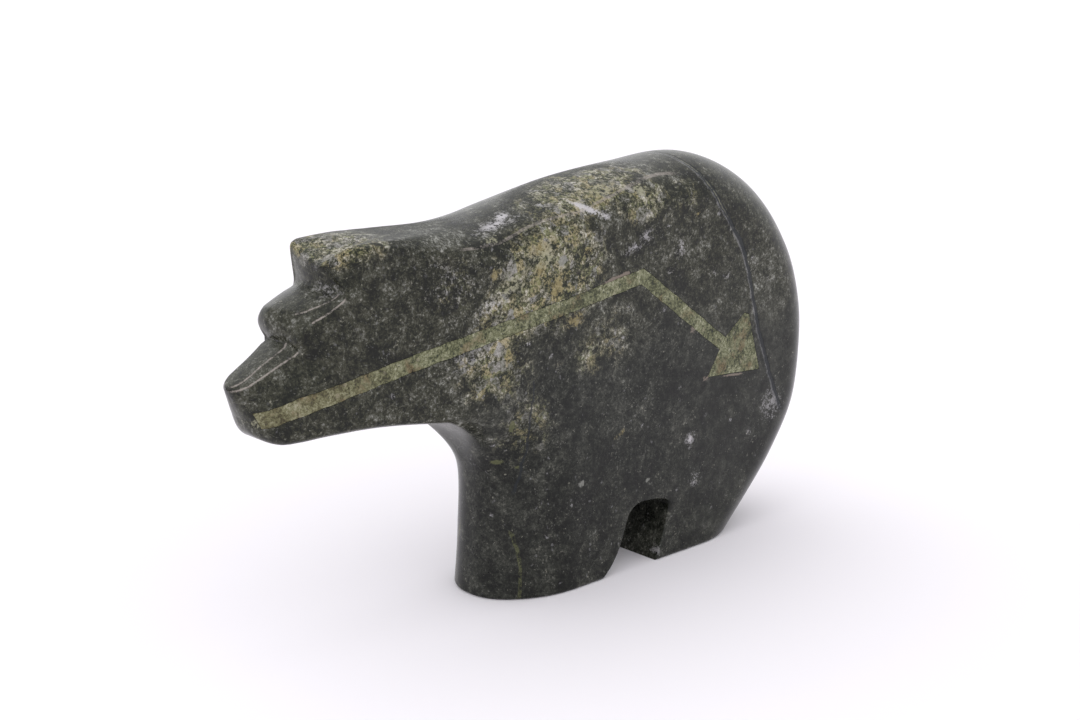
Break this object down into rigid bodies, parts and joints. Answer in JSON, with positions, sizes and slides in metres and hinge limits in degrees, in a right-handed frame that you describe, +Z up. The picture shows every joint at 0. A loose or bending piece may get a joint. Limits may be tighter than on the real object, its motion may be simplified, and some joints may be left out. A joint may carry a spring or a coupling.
{
  "type": "carved stone bear figure",
  "caption": "Standing bear carved from a slab of dark green serpentine, with an arrow-shaped heartline of paler stone let into its left side.",
  "frame": {"origin": "on the surface the soles stand on, under the middle of the figure's bounding box", "axes": "+X from nose to rump, +Y towards the figure's right side, +Z up; the heartline is on the -Y side"},
  "size_m": [0.127, 0.023, 0.0729],
  "materials": {
    "serpentine": "satin polish",
    "heartline_stone": "satin polish"
  },
  "bodies": {
    "root": {"bear_body": "serpentine", "heartline_tile_1": "heartline_stone", "heartline_tile_2": "heartline_stone", "heartline_tile_3": "heartline_stone", "heartline_tile_4": "heartline_stone", "heartline_tile_5": "heartline_stone", "heartline_tile_6": "heartline_stone", "heartline_tile_7": "heartline_stone", "heartline_arrowhead": "heartline_stone"}
  },
  "joints": []
}
